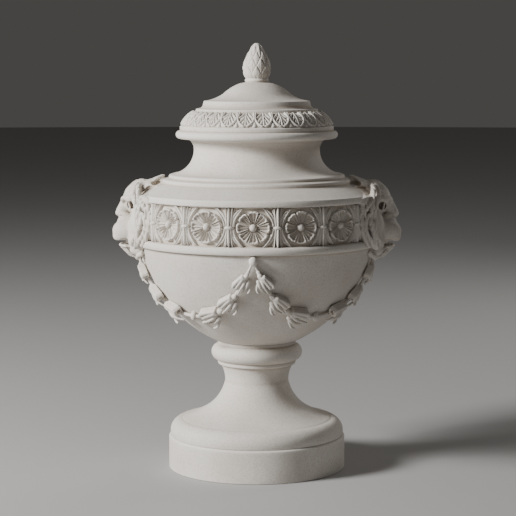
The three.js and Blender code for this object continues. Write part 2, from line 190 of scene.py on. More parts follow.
def profile_relief(points, reach=0.5, spread_over=2.2):
    """How far each corner of a profile stands out of its own smoothed line."""
    points = np.array(points)
    run = np.concatenate([[0], np.cumsum(np.linalg.norm(np.diff(points, axis=0), axis=1))])
    even = np.arange(0, run[-1], 0.4)
    line = np.stack([np.interp(even, run, points[:, i]) for i in (0, 1)], 1)
    window = np.exp(-0.5 * (np.arange(-18, 19) * 0.4 / spread_over) ** 2)
    window /= window.sum()
    padded = np.pad(line, ((18, 18), (0, 0)), "edge")
    smooth = np.stack([np.convolve(padded[:, i], window, "valid") for i in (0, 1)], 1)
    way = length_one(np.gradient(line, axis=0))
    rise = ((line - smooth) * np.stack([way[:, 1], -way[:, 0]], 1)).sum(1)
    return np.clip(np.interp(run, even, rise) / reach, -1, 1)


def turned(name, corners, segments=160):
    """A closed round stone: the profile starts and ends on the axis."""
    points = profile(corners)
    rings, faces, place, relief = [], [], [], []
    turns = 2 * np.pi * np.arange(segments) / segments
    for (radius, height), rise in zip(points, profile_relief(points)):
        if radius < 1e-6:
            rings.append([len(place)])
            place.append((0, 0, height))
            relief.append(0)
            continue
        rings.append(list(range(len(place), len(place) + segments)))
        place += [(radius * math.sin(t), -radius * math.cos(t), height) for t in turns]
        relief += [rise] * segments
    for low, high in zip(rings, rings[1:]):
        for i in range(segments):
            j = (i + 1) % segments
            corner = [low[i % len(low)], low[j % len(low)], high[j % len(high)], high[i % len(high)]]
            faces.append(list(dict.fromkeys(corner)))
    return outwards(piece_mesh(name, place, faces, relief))


def moved(obj, name, matrices):
    """One mesh of copies of obj, each moved by a matrix; a mirroring one keeps the faces outwards."""
    mesh = obj.data
    place = values_of(mesh.vertices, "co", 3) / MM
    relief = values_of(mesh.attributes["relief"].data, "value")
    corners = [list(p.vertices) for p in mesh.polygons]
    points, faces = [], []
    for matrix in matrices:
        first = len(points) * len(place)
        points.append(place @ matrix.T)
        step = -1 if np.linalg.det(matrix) < 0 else 1
        faces += [[first + v for v in face[::step]] for face in corners]
    return piece_mesh(name, np.concatenate(points), faces, np.tile(relief, len(matrices)))


# Matrices: from the front to the back, from right to left, and to the four quarters of the bowl
TO_BACK = np.diag([-1.0, -1.0, 1.0])
FLIP_X = np.diag([-1.0, 1.0, 1.0])
QUARTERS = [np.eye(3), FLIP_X, TO_BACK, TO_BACK @ FLIP_X]


# Carved forms as a distance field: lumps are added, hollows are cut, and the whole becomes one skin

class Block:
    def __init__(self, low, high, grain):
        self.low, self.grain = np.array(low, float), grain
        self.axes = [np.arange(a, b + grain, grain) for a, b in zip(low, high)]
        self.field = np.full([len(a) for a in self.axes], 12.0)

    def window(self, low, high):
        """Slices and coordinates of the part of the block between two corners."""
        slices, coords = [], []
        for axis, (a, b) in enumerate(zip(low, high)):
            first = int(np.searchsorted(self.axes[axis], a))
            last = int(np.searchsorted(self.axes[axis], b))
            slices.append(slice(first, last))
            shape = [1, 1, 1]
            shape[axis] = -1
            coords.append(self.axes[axis][first:last].reshape(shape))
        return tuple(slices), coords

    def join(self, slices, distance, blend, cut=False):
        side = -1 if cut else 1
        old = side * self.field[slices]
        reach = np.maximum(blend - np.abs(old - distance), 0) / blend
        self.field[slices] = side * (np.minimum(old, distance) - reach ** 2 * blend / 4)

    def lump(self, centre, size, blend=3, cut=False):
        centre, size = np.array(centre, float), np.array(size, float)
        slices, coords = self.window(centre - size - blend - 3, centre + size + blend + 3)
        near = sum(((c - m) / s) ** 2 for c, m, s in zip(coords, centre, size)) ** 0.5
        pull = sum(((c - m) / s ** 2) ** 2 for c, m, s in zip(coords, centre, size)) ** 0.5
        self.join(slices, near * (near - 1) / np.maximum(pull, 1e-6), blend, cut)

    def strand(self, path, radii, blend=1.2, cut=False, flat=(1, 1, 1)):
        """A round strand along a path; flat squeezes distances along an axis, which widens it there."""
        path = [np.array(p, float) for p in path]
        flat = np.array(flat, float)
        for start, end, thick, thin in zip(path, path[1:], radii, radii[1:]):
            wide = (max(thick, thin) + blend + 2) / flat
            slices, coords = self.window(np.minimum(start, end) - wide, np.maximum(start, end) + wide)
            way = (end - start) * flat
            length = max((way ** 2).sum(), 1e-9)
            share = sum((c - s) * f * w for c, s, f, w in zip(coords, start, flat, way)) / length
            share = np.clip(share, 0, 1)
            gap = sum(((c - s) * f - share * w) ** 2 for c, s, f, w in zip(coords, start, flat, way))
            self.join(slices, gap ** 0.5 - (thick + (thin - thick) * share), blend, cut)

    def slab(self, corners, middle, thick, bulge=0.0, blend=1.2, worn=0.8):
        """A leaf: a convex outline in X and Z, its face at Y, swelling by bulge along its middle."""
        corners = np.array(corners, float)
        low, high = corners.min(0) - blend - 3, corners.max(0) + blend + 3
        reach = thick + blend + 3 + abs(bulge)
        near, far = (low[0], middle - reach, low[1]), (high[0], middle + reach, high[1])
        slices, (x, y, z) = self.window(near, far)
        edge = np.full((x + z).shape, -99.0)
        for (ax, az), (bx, bz) in zip(corners, np.roll(corners, -1, 0)):
            length = math.hypot(bx - ax, bz - az)
            edge = np.maximum(edge, ((bz - az) * (x - ax) - (bx - ax) * (z - az)) / length)
        swell = bulge * np.clip(-edge / 4, 0, 1)
        face = np.abs(y - middle - 0.5 * swell) - thick - 0.5 * swell
        edge = edge + worn + 0 * y
        face = face + worn + 0 * edge
        outside = np.sqrt(np.maximum(edge, 0) ** 2 + np.maximum(face, 0) ** 2)
        self.join(slices, outside + np.minimum(np.maximum(edge, face), 0) - worn, blend)

    def skin(self, name, even=0.0):
        """The surface as a mesh, taken at the first level where every edge has just two faces."""
        grid = openvdb.FloatGrid(3.0 * self.grain)
        grid.copyFromArray(np.clip(self.field, -3 * self.grain, 3 * self.grain).astype(np.float32))
        for level in (0.0, 0.04, -0.04, 0.08, -0.08, 0.12, -0.12):
            points, triangles, quads = grid.convertToPolygons(isovalue=level, adaptivity=even)
            faces = [list(map(int, f))[::-1] for kind in (triangles, quads) for f in kind]
            made = outwards(piece_mesh(name, points * self.grain + self.low, faces))
            uses = np.bincount(values_of(made.data.loops, "edge_index", 1, int))
            if (uses == 2).all() or level == -0.12:
                return made
            bpy.data.objects.remove(made)


def curve_through(points, steps):
    """Smooth path through the points."""
    points = np.array(points, float)
    ends = np.vstack([2 * points[0] - points[1], points, 2 * points[-1] - points[-2]])
    path = []
    for i in range(len(points) - 1):
        a, b, c, d = ends[i:i + 4]
        for t in np.arange(steps) / steps:
            path.append(0.5 * (2 * b + (c - a) * t + (2 * a - 5 * b + 4 * c - d) * t ** 2
                               + (3 * b - a - 3 * c + d) * t ** 3))
    return path + [points[-1]]


# Node trees

class Nodes:
    """A node tree whose nodes are added with their settings, and with their inputs linked or set."""

    def __init__(self, tree):
        self.tree = tree

    def put(self, value, socket):
        if isinstance(value, bpy.types.NodeSocket):
            self.tree.links.new(value, socket)
        elif isinstance(value, str):
            self.tree.links.new(self.given.outputs[value], socket)
        elif value is not None:
            socket.default_value = value

    def add(self, kind, values=(), **settings):
        node = self.tree.nodes.new(kind)
        for key, value in settings.items():
            setattr(node, key, value)
        for key, value in dict(values).items():
            self.put(value, node.inputs[key])
        return node


class Grower(Nodes):
    """A geometry node tree with named inputs, built from left to right."""

    def __init__(self, name, inputs):
        super().__init__(bpy.data.node_groups.new(name, "GeometryNodeTree"))
        self.sockets = {}
        face = self.tree.interface
        face.new_socket("Geometry", in_out="INPUT", socket_type="NodeSocketGeometry")
        for label, kind in inputs:
            held = face.new_socket(label, in_out="INPUT", socket_type="NodeSocket" + kind)
            self.sockets[label] = held.identifier
        face.new_socket("Geometry", in_out="OUTPUT", socket_type="NodeSocketGeometry")
        self.given = self.tree.nodes.new("NodeGroupInput")

    def math(self, operation, first, second=None, kind="ShaderNodeMath"):
        return self.add(kind, {0: first, 1: second}, operation=operation).outputs[0]

    def finish(self, geometry):
        real = self.add("GeometryNodeRealizeInstances", {"Geometry": geometry})
        painted = self.add("GeometryNodeSetMaterial", {"Geometry": real.outputs[0], "Material": "Finish"})
        self.tree.links.new(painted.outputs[0], self.tree.nodes.new("NodeGroupOutput").inputs[0])
        return self

    def grow(self, name, base, values):
        """Runs the tree on base and keeps its result as a plain mesh."""
        run = base.modifiers.new("grow", "NODES")
        run.node_group = self.tree
        for label, value in values.items():
            run[self.sockets[label]] = value
        graph = bpy.context.evaluated_depsgraph_get()
        grown = bpy.data.meshes.new_from_object(base.evaluated_get(graph))
        base.modifiers.remove(run)
        grown.name = name
        return linked(bpy.data.objects.new(name, grown))


# Finishes

def plain_finish(name, colour, roughness):
    finish = bpy.data.materials.new(name)
    finish.use_nodes = True
    shader = finish.node_tree.nodes["Principled BSDF"]
    shader.inputs["Base Color"].default_value = colour
    shader.inputs["Roughness"].default_value = roughness
    return finish


def stone_finish():
    """Pale fine-grained stone: speckle, soft clouds, tan dirt with painted shade in the hollows and paler
    worn edges.
    """
    finish = bpy.data.materials.new("carved_stone")
    finish.use_nodes = True
    tree = Nodes(finish.node_tree)
    place = tree.add("ShaderNodeTexCoord").outputs["Object"]

    def noise(scale, detail, rough=0.5):
        return tree.add("ShaderNodeTexNoise", {
            "Vector": place, "Scale": scale, "Detail": detail, "Roughness": rough,
        }).outputs["Fac"]

    def ramp(source, stops):
        node = tree.add("ShaderNodeValToRGB", {"Fac": source})
        for element, stop in zip(node.color_ramp.elements, (stops[0], stops[-1])):
            element.position, element.color = stop
        for position, colour in stops[1:-1]:
            node.color_ramp.elements.new(position).color = colour
        return node.outputs["Color"]

    def mix(kind, share, first, second):
        return tree.add("ShaderNodeMix", {
            "Factor": share, "A": first, "B": second,
        }, data_type="RGBA", blend_type=kind).outputs["Result"]

    def stretched(source, start, end, low, high):
        """Maps start to low and end to high, and holds the value outside them."""
        return tree.add("ShaderNodeMapRange", {
            "Value": source, "From Min": start, "From Max": end, "To Min": low, "To Max": high,
        }).outputs["Result"]

    def bumps(height, strength, distance, under=None):
        return tree.add("ShaderNodeBump", {
            "Height": height, "Strength": strength, "Distance": distance, "Normal": under,
        }).outputs["Normal"]

    clouds = ramp(noise(14, 4), [(0.3, (0.62, 0.575, 0.52, 1)), (0.7, (0.71, 0.68, 0.635, 1))])
    grain = ramp(noise(620, 3, 0.6), [
        (0.32, (0.74, 0.72, 0.69, 1)), (0.5, (0.96, 0.96, 0.96, 1)), (0.72, (1, 1, 1, 1)),
    ])
    speckled = mix("MULTIPLY", 0.8, clouds, grain)
    flecks = ramp(noise(430, 3, 0.7), [(0.36, (1, 1, 1, 1)), (0.40, (0, 0, 0, 1))])
    flecked = mix("MIX", flecks, speckled, (0.50, 0.45, 0.39, 1))
    relief = tree.add("ShaderNodeAttribute", attribute_name="relief").outputs["Fac"]
    # Tan where the relief is low: part dirt, part painted shade where shade falls in the hollows
    hollow_dirt_and_shade = mix("MIX", stretched(relief, -0.15, -0.9, 0, 0.62), flecked, (0.42, 0.35, 0.27, 1))
    pale = mix("MIX", stretched(relief, 0.2, 1, 0, 0.35), hollow_dirt_and_shade, (0.80, 0.775, 0.73, 1))
    wavy = bumps(noise(110, 3), 0.3, 0.0008)
    shader = finish.node_tree.nodes["Principled BSDF"]
    for socket, value in (
        ("Base Color", pale),
        ("Roughness", stretched(noise(300, 3), 0, 1, 0.72, 0.9)),
        ("Specular IOR Level", 0.35),
        ("Normal", bumps(noise(900, 3, 0.6), 0.35, 0.0003, wavy)),
    ):
        tree.put(value, shader.inputs[socket])
    return finish


STONE = stone_finish()


# Geometry Nodes: ornaments in a ring, and husks along a string

def ring_tree():
    """Copies an ornament from the front to even places round the axis, leaving out the two sides."""
    tree = Grower("ring_of_ornaments", [
        ("Ornament", "Object"), ("Places", "Int"), ("Offset", "Float"), ("Free Sine", "Float"),
        ("Finish", "Material"),
    ])
    line = tree.add("GeometryNodeMeshLine", {"Count": "Places", "Offset": (0, 0, 0)})
    step = tree.math("DIVIDE", 2 * math.pi, "Places")
    index = tree.add("GeometryNodeInputIndex").outputs[0]
    angle = tree.math("MULTIPLY", tree.math("ADD", index, "Offset"), step)
    free = tree.math("LESS_THAN", tree.math("ABSOLUTE", tree.math("SINE", angle)), "Free Sine")
    turn = tree.add("ShaderNodeCombineXYZ", {"Z": angle})
    shape = tree.add("GeometryNodeObjectInfo", {"Object": "Ornament"})
    copies = tree.add("GeometryNodeInstanceOnPoints", {
        "Points": line.outputs[0], "Selection": free, "Instance": shape.outputs["Geometry"],
        "Rotation": turn.outputs[0],
    })
    return tree.finish(copies.outputs[0])


def string_tree():
    """Hangs husks at even steps along a string, mouths down the string and backs to the bowl."""
    tree = Grower("husks_on_string", [
        ("Husk", "Object"), ("Start", "Float"), ("Pitch", "Float"), ("Count", "Int"),
        ("First Size", "Float"), ("Growth", "Float"),
        ("Bowl Centre Height", "Float"), ("Bowl Centre Inset", "Float"), ("Finish", "Material"),
    ])
    line = tree.add("GeometryNodeMeshLine", {"Count": "Count", "Offset": (0, 0, 0)})
    index = tree.add("GeometryNodeInputIndex").outputs[0]
    run = tree.math("ADD", tree.math("MULTIPLY", index, "Pitch"), "Start")
    at = tree.add("GeometryNodeSampleCurve", {"Curves": "Geometry", "Length": run}, mode="LENGTH")
    placed = tree.add("GeometryNodeSetPosition", {
        "Geometry": line.outputs[0], "Position": at.outputs["Position"],
    })
    parts = tree.add("ShaderNodeSeparateXYZ", {"Vector": at.outputs["Position"]})
    flat = tree.add("ShaderNodeCombineXYZ", {"X": parts.outputs[0], "Y": parts.outputs[1]}).outputs[0]
    reach = tree.add("ShaderNodeVectorMath", {0: flat}, operation="LENGTH").outputs["Value"]
    grown = tree.math("DIVIDE", tree.math("ADD", reach, "Bowl Centre Inset"), reach)
    wide = tree.add("ShaderNodeVectorMath", {0: flat}, operation="SCALE")
    tree.put(grown, wide.inputs["Scale"])
    rise = tree.math("SUBTRACT", parts.outputs[2], "Bowl Centre Height")
    up = tree.add("ShaderNodeCombineXYZ", {"Z": rise}).outputs[0]
    out = tree.math("ADD", wide.outputs[0], up, "ShaderNodeVectorMath")
    size = tree.math("ADD", tree.math("MULTIPLY", index, "Growth"), "First Size")
    shape = tree.add("GeometryNodeObjectInfo", {"Object": "Husk"})
    along = tree.add("FunctionNodeAlignRotationToVector", {"Vector": at.outputs["Tangent"]}, axis="Z")
    facing = tree.add("FunctionNodeAlignRotationToVector", {
        "Rotation": along.outputs[0], "Vector": out,
    }, axis="Y", pivot_axis="Z")
    copies = tree.add("GeometryNodeInstanceOnPoints", {
        "Points": placed.outputs[0], "Instance": shape.outputs["Geometry"], "Rotation": facing.outputs[0],
        "Scale": size,
    })
    return tree.finish(copies.outputs[0])


RING = ring_tree()
STRING = string_tree()


def dressed(obj, node):
    """The piece is finished: it rides on the urn, has the stone's finish and stands for a CAD node."""
    obj.data.materials.clear()
    obj.data.materials.append(STONE)
    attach(obj, "root")
    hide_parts(node)


def removed(*objs):
    for obj in objs:
        bpy.data.objects.remove(obj)


# Plinth and foot

def plinth():
    drum = turned("plinth_drum", [(0, 0), (125.2, 0), (125.2, 43), (122.4, 46, 0.88), (0, 46)])
    dressed(drum, "plinth")


def foot():
    spool = turned("foot_spool", [
        (0, 46.3), (122, 46.3), (106, 69.5, 7.2), (104.5, 70.3), (76.2, 82.2, -1), (44.9, 124, -5.8),
        (51, 146.5, -1.5), (54.5, 147.5), (55.5, 151.5, 0.4), (55.5, 153.2), (55.5, 176, 9), (55.5, 180.5),
        (0, 180.5),
    ])
    dressed(spool, "foot")


# Bowl, frieze, shoulder and neck

BOWL_CENTRE, BOWL_RADIUS = circle(BOWL_FOOT, BOWL_BRIM, BOWL_RISE)[:2]


def bowl_reach(height):
    return BOWL_CENTRE[0] + np.sqrt(np.maximum(BOWL_RADIUS ** 2 - (height - BOWL_CENTRE[1]) ** 2, 0))


def wall_reach(height):
    """Outside radius of the turned wall at a height, from the bowl to the foot of the neck."""
    slope = np.interp(height, [391, 404.5, 410.5, 411, 417.3], [165, 134, 132.5, 124, 118.5])
    return np.where(height < 318, bowl_reach(height), np.where(height < 391, 168.6, slope))


def body():
    shell = turned("body_shell", [
        (0, BOWL_FOOT[1]), BOWL_FOOT, (*BOWL_BRIM, BOWL_RISE),
        (166, 318), (170, 318.6), (170, 327.4, 1.4), (168, 328.6), (FIELD, 329.4), (FIELD, 381),
        (168, 382), (169, 383), (168, 390.5, 0.6), (165, 391.5), (135, 404, 0.5), (133, 405),
        (132, 410, 0.4), (124, 412), (123, 416, 0.4), (119, 417.3), (118.5, 417.3), (88.6, 449, -7.9),
        (92, 461.5, -1.3), (97.5, 465.6, -0.7), (97.5, 466.3), (72, 466.3), (72, 424), (145, 374, 8),
        (145, 312), (40, 206, -18), (0, 206),
    ])
    dressed(shell, "body")


# Rosettes and sheaves of the frieze

BALL = 4.9


def bent(points):
    """Bends flat ornament points (x along the wall, y up, z outwards) on to the frieze at the front."""
    points = np.asarray(points, float)
    turn = points[:, 0] / FIELD
    reach = FIELD + points[:, 2]
    return np.stack([reach * np.sin(turn), -reach * np.cos(turn), FRIEZE_MIDDLE + points[:, 1]], 1)


def rosette(petals=8, radius=22.2, rings=28, spokes=208):
    """Dished flower round a ball: each petal has a raised loop for a rim, a midrib and a cleft."""
    turn = 2 * np.pi * np.arange(spokes) / spokes
    side = 2 * np.abs((turn * petals / (2 * np.pi) + 0.5) % 1 - 0.5)
    edge = radius * (1 - 0.15 * side ** 4 - 0.03 * np.exp(-(side / 0.14) ** 2))
    points = []
    for ring in range(rings + 1):
        share = ring / rings
        reach = share * edge
        opened = np.clip((share - 0.16) / 0.22, 0, 1)
        ground = 0.2 + 3.7 * share ** 2
        crest = 2.4 + 4.6 * share ** 1.2
        rim = opened * np.exp(-((side - 0.75) / 0.10) ** 2)
        loop = np.exp(-((share - 0.93 + 0.10 * side ** 3) / 0.055) ** 2) * (side < 0.8)
        rib = 0.85 * opened * np.exp(-(side / 0.09) ** 2) * (1 - share ** 6)
        height = ground + (crest - ground) * np.maximum(np.maximum(rim, loop), rib)
        height = height - (0.6 + 1.2 * share) * opened * np.exp(-((side - 1) / 0.10) ** 2)
        ball = 1.2 + np.sqrt(np.maximum(BALL ** 2 - reach ** 2, 0)) * 1.05
        height = np.where(reach < BALL, np.maximum(height, ball), height)
        height = np.clip(height, 0.2, 7.4)
        points += list(zip(reach * np.sin(turn), reach * np.cos(turn), height))
    for depth in (2.5, -3):
        points += list(zip(edge * np.sin(turn), edge * np.cos(turn), np.full(spokes, depth, float)))
    faces = tube_faces(rings + 3, spokes) + [list(range((rings + 2) * spokes, (rings + 3) * spokes))]
    return carve_depth(outwards(piece_mesh("rosette_unit", bent(points), faces)), 14, 0.9)


def ribbon(path, widths, heights, sink=1.5, steps=6):
    """Points and faces of a rounded strip along a flat path of (x, y); heights are above the ground."""
    path = np.array(path, float)
    way = length_one(np.gradient(path, axis=0))
    side = np.stack([way[:, 1], -way[:, 0]], 1)
    angles = np.pi * np.arange(steps + 1) / steps
    points = []
    for at, across, wide, high in zip(path, side, widths, heights):
        for angle in angles:
            x, y = at + across * wide * math.cos(angle)
            points.append((x, y, high * math.sin(angle)))
        for end in (-1, 1):
            x, y = at + across * wide * end
            points.append((x, y, -sink))
    return points, closed_tube(len(path), steps + 3)


def gathered(name, ribbons, place):
    """One mesh of several ribbons, bent to its wall by place."""
    points, faces = [], []
    for more, corners in ribbons:
        faces += [[len(points) + i for i in face] for face in corners]
        points += more
    return outwards(piece_mesh(name, place(points), faces))


def sheaf(half=26, stations=21):
    """Three stems tied by a knot, with double straps that run round the two flowers beside them."""
    up = np.linspace(-1, 1, stations)
    parts = []
    tips = 1 - 0.6 * np.abs(up) ** 8
    swell = 0.7 + 0.45 * np.sin(np.pi * np.abs(up))
    parts.append(ribbon(list(zip(0 * up, up * half)), 2.4 * swell * tips, 7.8 - 1.2 * up ** 2))
    for way in (-1, 1):
        x = way * (2.9 + 1.8 * np.abs(up) ** 1.5)
        parts.append(ribbon(list(zip(x, up * half)), 1.25 * tips, 6.2 - 1.2 * up ** 2))
    for end in (-1, 1):
        rise = np.linspace(0.1, 1, 9)
        for way in (-1, 1):
            leaf = np.sin(np.pi * np.linspace(0.12, 0.94, 9)) ** 0.6
            x = way * (3.4 + 4.2 * rise ** 2.4)
            parts.append(ribbon(list(zip(x, end * rise * half)), 1.2 * leaf, 4.4 * leaf))
            for inner, broad, high in ((0, 3.3, 3.9), (-1.75, 1.35, 5.0), (1.75, 1.4, 5.7)):
                rise_on = np.linspace(0.06, 1.0, 13)
                point = np.clip((1.08 - rise_on) / 0.4, 0.3, 1)
                x = way * (4.4 + 13.2 * rise_on ** 2.2 + inner * (0.75 + 0.6 * rise_on) * point ** 0.5)
                wide = broad * point
                tall = high * (0.65 + 0.35 * point)
                parts.append(ribbon(list(zip(x, end * rise_on * half)), wide, tall))
    x = np.linspace(-6.0, 6.0, 13)
    round_end = np.sqrt(np.maximum(1 - (x / 6.0) ** 2, 0.03))
    parts.append(ribbon([(v, 0) for v in x], 3.5 * round_end, 8.9 * (0.55 + 0.45 * round_end)))
    return carve_depth(gathered("sheaf_unit", parts, bent), 8, 0.9)


def frieze():
    flower, bundle = rosette(), sheaf()
    empty = piece_mesh("frieze_places", [(0, 0, 0)], [])
    free = math.sin(MASK_HALF_TURN)
    values = {"Places": PLACES, "Free Sine": free, "Finish": STONE}
    flowers = RING.grow("frieze_rosettes", empty, {"Ornament": flower, "Offset": 0.0, **values})
    bundles = RING.grow("frieze_sheaves", empty, {"Ornament": bundle, "Offset": 0.5, **values})
    removed(flower, bundle, empty)
    dressed(flowers, "body")
    dressed(bundles, "body")


# Garlands: each swag spans 84 degrees from a stud to a mask, and SHARP says how steeply its ends rise

SPAN = 84
SWAG_TOP = 312
SWAG_DROP = 84.5
SHARP = 3.6
STAND = 5


def swag_point(degrees):
    share = abs(2 * degrees / SPAN - 1)
    sag = 1 - (math.cosh(SHARP * share) - 1) / (math.cosh(SHARP) - 1)
    height = SWAG_TOP - SWAG_DROP * sag
    reach = bowl_reach(height) + STAND
    turn = math.radians(degrees)
    return reach * math.sin(turn), -reach * math.cos(turn), height


def husk():
    """One husk, its bead at the top: X is its upper side, Y is away from the bowl, Z is down the string."""
    block = Block((-16, -9, -8), (17, 13, 37), 0.72)
    block.lump((0, -3, 13), (6.5, 4.5, 12.5), 2)
    petal = [(-0.6, 1.2), (6.8, 0.2), (15.0, 20.0), (13.2, 24.4), (4.0, 24.4), (1.2, 11)]
    block.slab(petal, 2.0, 5.2, 1.6, 0.6, 0.35)
    block.strand([(6.2, 8.9, 6), (9.6, 8.9, 21)], [0.8, 1.4], 1.6, cut=True, flat=(1, 0.6, 1))
    block.strand([(9.4, 1.6, 27), (7.8, 1.4, 16)], [3.4, 1.8], 0.6, cut=True, flat=(1, 1.0, 1))
    block.strand([(1.7, 9, 10.5), (3.0, 9, 23)], [0.8, 1.2], 0.4, cut=True, flat=(1, 0.3, 1))
    path = [(-0.6, 3.4, 5), (-0.8, 6.6, 11), (0.0, 7.4, 18), (0.6, 5.6, 25), (0.2, 2.4, 32)]
    block.strand(curve_through(path, 3), np.linspace(2.2, 1.3, 13), 0.8)
    path = [(-5.9, 3.4, 5.6), (-6.2, 5.6, 10), (-6.4, 6.0, 15), (-5.6, 4.4, 22), (-3.6, 1.8, 28.5)]
    block.strand(curve_through(path, 3), np.linspace(2.7, 1.2, 13), 0.8)
    gap = [(-2.9, 9, 7.5), (-4.0, 9, 15), (-3.0, 9, 24)]
    block.strand(gap, [0.7, 1.0, 0.8], 0.5, cut=True, flat=(1, 0.3, 1))
    path = [(-7.6, 1.6, 9), (-10.6, 4.2, 12), (-12.6, 6.2, 16), (-12.8, 7.0, 19.5), (-11.6, 7.2, 21.5)]
    block.strand(curve_through(path, 3), np.linspace(1.7, 1.15, 13), 0.8)
    block.lump((0, 1.2, 0), (4.1, 4.6, 5.2), 1)
    return carve_depth(block.skin("husk_unit", 0.2), 9, 0.9)


def stem(sides=7, thick=2.5):
    """The string itself, from the stud round to the mask, as a closed tube."""
    line = np.array([swag_point(degrees) for degrees in np.linspace(2, SPAN, 72)])
    way = length_one(np.gradient(line, axis=0))
    flat = length_one(np.cross(way, (0, 0, 1)))
    over = np.cross(flat, way)
    turns = 2 * np.pi * np.arange(sides) / sides
    points = []
    for at, a, b in zip(line, flat, over):
        points += [at + thick * (a * math.cos(t) + b * math.sin(t)) for t in turns]
    tube = piece_mesh("stem_unit", points, closed_tube(len(line), sides))
    return carve_depth(outwards(tube), 1, 5)


def husk_swags(unit):
    """Half a swag on its string, its mirror on the way up to the mask, and both in all four quarters."""
    string = bpy.data.curves.new("swag_string", "CURVE")
    string.dimensions = "3D"
    run = string.splines.new("POLY")
    degrees = np.arange(0, SPAN / 2 + 0.01, 0.25)
    run.points.add(len(degrees) - 1)
    for point, angle in zip(run.points, degrees):
        point.co = [v * MM for v in swag_point(angle)] + [1]
    path = linked(bpy.data.objects.new("swag_string", string))
    half = STRING.grow("swag_half", path, {
        "Husk": unit, "Start": 24 * MM, "Pitch": 37 * MM, "Count": 3, "First Size": 0.9, "Growth": 0.12,
        "Bowl Centre Height": float(BOWL_CENTRE[1]) * MM, "Bowl Centre Inset": float(-BOWL_CENTRE[0]) * MM,
        "Finish": STONE,
    })
    across = math.radians(SPAN)
    fold = np.array([
        [-math.cos(across), -math.sin(across), 0],
        [-math.sin(across), math.cos(across), 0],
        [0, 0, 1],
    ])
    places = []
    for quarter in QUARTERS:
        places += [quarter, quarter @ fold]
    husks = moved(half, "garland_husks", places)
    removed(path, half)
    return husks


def studs():
    """The stud in the middle of the front, with the starts of its two strings, and its copy behind."""
    block = Block((-30, -185, 212), (30, -128, 324), 0.75)
    stud = np.array(swag_point(0)) + (0, 0.4, -1.2)
    for side in (-1, 1):
        line = [(side * x, y + 1.5, z) for x, y, z in map(swag_point, np.arange(0, 4.6, 0.5))]
        block.strand(line, [1.65] * len(line), 1)
    block.lump(stud, (6.0, 6.0, 6.3), 1)
    block.lump(stud + (0, 5, 0), (5, 5, 5), 1)
    front = carve_depth(block.skin("stud_unit", 0.1), 8, 0.9)
    both = moved(front, "garland_studs", [np.eye(3), TO_BACK])
    removed(front)
    return both


def beads():
    """Beads where each swag hangs lowest and where it comes to the mask."""
    block = Block((-9, -9, -9), (9, 9, 9), 0.6)
    block.lump((0, 0, 0), (4.6, 6.4, 6.4), 1)
    bead = carve_depth(block.skin("bead_unit"), 8, 0.9)
    copies = []
    for quarter in QUARTERS:
        for angle, scale in ((SPAN / 2, 1.05), (SPAN - 3.6, 0.8)):
            copy = moved(bead, "garland_bead", [np.eye(3) * scale])
            copy.data.transform(Matrix.Translation(Vector(quarter @ swag_point(angle)) * MM))
            copies.append(copy)
    removed(bead)
    return copies


def garlands():
    unit, tube = husk(), stem()
    husks = husk_swags(unit)
    joined = [husks, studs(), moved(tube, "garland_stems", QUARTERS)] + beads()
    with bpy.context.temp_override(
        active_object=husks, selected_editable_objects=joined, selected_objects=joined,
    ):
        bpy.ops.object.join()
    removed(unit, tube)
    dressed(husks, "body")


# Lion masks: across from the middle, outwards from the urn's axis, and up

MASK_LOW = (0, 118, 293)
MASK_HIGH = (88, 207, 424)
COMB = 4.9
# The eye socket and the pockets under the tuft are cut, and they also get painted shade
SOCKET = ((10, 176.2, 373.8), (8.5, 6.6, 6.6))
POCKETS = (((50, 149.5, 398), (22, 12, 8)), ((27, 138.5, 406), (14, 8.5, 4.6)))

# Mane: width of a lock, where its wave starts, and its points; four rows of an upper lock and a lower one
# that curls forward, then a short lock at the temple and one under the jaw
MANE = (
    (3.2, 0.0, ((72, 150, 388.5), (79, 148, 382), (83, 145, 374), (84, 142.5, 366), (80.5, 145, 354))),
    (3.4, 2.4, ((80, 147, 365), (84, 144, 353), (82.5, 145.5, 341), (76, 151.5, 330), (68, 156.5, 323),
                (60, 160, 320))),
    (3.3, 3.1, ((60, 158, 389.5), (69, 156.5, 384), (75, 153, 375), (77, 150, 366), (72.5, 153, 353))),
    (3.5, 5.5, ((72, 153.5, 366), (78, 150.5, 354), (76, 153.5, 340), (69, 158.5, 328), (61, 161.5, 320),
                (53, 164, 316.5))),
    (3.4, 0.0, ((36, 161, 403.5), (52, 163, 397.5), (62, 161.5, 387), (66.5, 159, 376), (68, 157.5, 366),
                (63, 160, 352))),
    (3.5, 2.4, ((63, 159.5, 366), (69.5, 157.5, 353), (67, 160.5, 339), (60, 164.5, 327), (51, 167.5, 319),
                (43, 170, 316))),
    (3.4, 3.1, ((24, 166, 404), (40, 168, 399), (50, 168, 389), (55, 166, 377), (58, 164, 365),
                (54, 166, 353), (49, 167, 346))),
    (3.5, 5.5, ((53, 165.5, 364), (59, 164, 351), (57, 166, 337), (50, 169.5, 327), (42, 171.5, 320.5),
                (35, 174, 319.5))),
    (2.6, 0.4, ((29, 170, 395), (37, 168, 386), (43, 165, 374), (45.5, 164, 362))),
    (3.0, 1.0, ((52, 158, 313), (45, 161.5, 306), (37, 164.5, 302), (30, 168, 303))),
)


def lock(block, points, wide, wave=1.3, phase=0.0, strands=(-0.58, 0.58), thick=0.54, blend=0.3):
    """A waving lock of hair in one or two strands, through points (across, out, height) on the mane."""
    path = np.array(curve_through(points, 5))
    share = np.linspace(0, 1, len(path))
    way = length_one(np.gradient(path, axis=0))
    off = length_one(np.stack([path[:, 0] / 70, np.ones(len(path)), 0 * share], 1))
    side = length_one(np.cross(way, off))
    width = wide * np.clip(1.12 * np.sin(np.pi * np.clip(share * 0.84 + 0.16, 0, 1)) ** 0.6, 0.24, 1)
    swing = wave * np.sin(7.5 * share + phase)
    path = path + side * swing[:, None] + off * (0.5 * np.cos(7.5 * share + phase))[:, None]
    for strand in strands:
        block.strand(path + side * (strand * width)[:, None], thick * width, blend)


